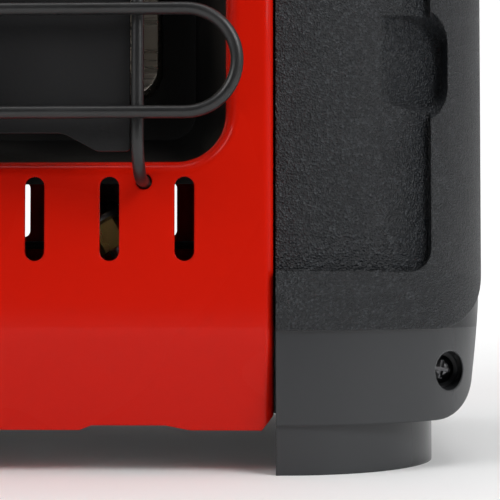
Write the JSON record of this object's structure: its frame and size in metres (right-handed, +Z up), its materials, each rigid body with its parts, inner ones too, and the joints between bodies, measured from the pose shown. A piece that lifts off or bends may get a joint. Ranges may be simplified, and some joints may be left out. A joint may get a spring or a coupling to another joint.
{
  "type": "portable propane heater",
  "caption": "Portable gas heater: a red steel case between moulded side covers, with a wire guard over a ceramic burner, control knob, igniter button, swivel regulator and folding handle.",
  "frame": {"origin": "on the floor, under the middle of the heater's bounding box", "axes": "+X is the right-hand end seen from the front, the heating face points to -Y, +Z is up"},
  "size_m": [0.3404, 0.1956, 0.3042],
  "materials": {
    "red": "glossy red enamel over sheet steel",
    "moulding": "charcoal moulded plastic, textured skin over a smoother band",
    "wire": "satin black coated steel wire",
    "shield": "satin black coated steel plate",
    "steel": "bare sheet steel",
    "stainless": "heat-resisting stainless steel",
    "pan": "dark grey heat-resisting coating",
    "screen": "stainless steel screen",
    "ceramic": "porous unglazed ceramic tile",
    "gasket": "white ceramic fibre gasket",
    "brass": "machined brass",
    "zinc": "die-cast zinc with a satin surface",
    "pipe": "drawn aluminium tube",
    "knob": "satin black moulded plastic",
    "dial": "satin black plate with pale printed marks",
    "button": "glossy red moulded plastic",
    "insulator": "white glazed ceramic",
    "lead": "silicone-covered lead",
    "grip": "ribbed soft rubber grip",
    "seal": "black nitrile rubber",
    "screws": "zinc-plated steel"
  },
  "bodies": {
    "case": {"front_cover": "red", "rear_cover": "red", "base_pan": "steel", "right_bulkhead": "steel", "left_bulkhead": "steel", "heat_shield": "steel", "pilot_bracket": "steel", "venturi_bracket": "steel", "right_side_cover": "moulding", "left_side_cover": "moulding", "guard_loop_1": "wire", "guard_loop_2": "wire", "guard_loop_3": "wire", "guard_upright_1": "wire", "guard_upright_2": "wire", "guard_upright_3": "wire", "guard_upright_4": "wire", "guard_plate": "shield", "firebox_pan": "pan", "burner_frame": "stainless", "burner_plenum": "stainless", "venturi_tube": "stainless", "swivel_post": "stainless", "burner_screen": "screen", "ceramic_tile": "ceramic", "tile_gasket": "gasket", "orifice_fitting": "brass", "pilot_burner": "brass", "gas_valve_body": "zinc", "igniter_nut": "zinc", "thermocouple": "brass", "supply_tube": "pipe", "burner_gas_tube": "pipe", "pilot_gas_tube": "pipe", "thermocouple_lead": "lead", "ignition_wire": "lead", "spark_electrode": "insulator", "tip_over_switch": "knob", "piezo_igniter": "knob", "dial_plate": "dial", "cover_screws": "screws"},
    "collar": {"push_collar": "brass"},
    "knob": {"control_knob": "knob", "valve_stem": "stainless"},
    "button": {"igniter_button": "button"},
    "handle": {"handle_bail": "wire", "handle_grip": "grip"},
    "regulator": {"regulator_body": "zinc", "regulator_cap": "knob", "inlet_socket": "brass", "inlet_seal": "seal"}
  },
  "joints": [
    {"name": "knob_push", "type": "slide", "parent": "case", "child": "collar", "axis": [0, 0.5563, -0.831], "range_m": [0, 0.003], "stiffness_N_per_m": 1200, "springref_m": -0.002},
    {"name": "knob_turn", "type": "hinge", "parent": "collar", "child": "knob", "pos_m": [-0.141, -0.0368, 0.27456], "axis": [0, -0.5563, 0.831], "range_deg": [0, 225]},
    {"name": "igniter_press", "type": "slide", "parent": "case", "child": "button", "axis": [0, 0.5563, -0.831], "range_m": [0, 0.005], "stiffness_N_per_m": 900, "springref_m": -0.002},
    {"name": "handle_fold", "type": "hinge", "parent": "case", "child": "handle", "pos_m": [0, 0.0067, 0.2935], "axis": [1, 0, 0], "range_deg": [0, 90]},
    {"name": "regulator_swivel", "type": "hinge", "parent": "case", "child": "regulator", "pos_m": [0.1575, 0.0734, 0.225], "axis": [0, 0, 1], "range_deg": [0, 100]}
  ]
}
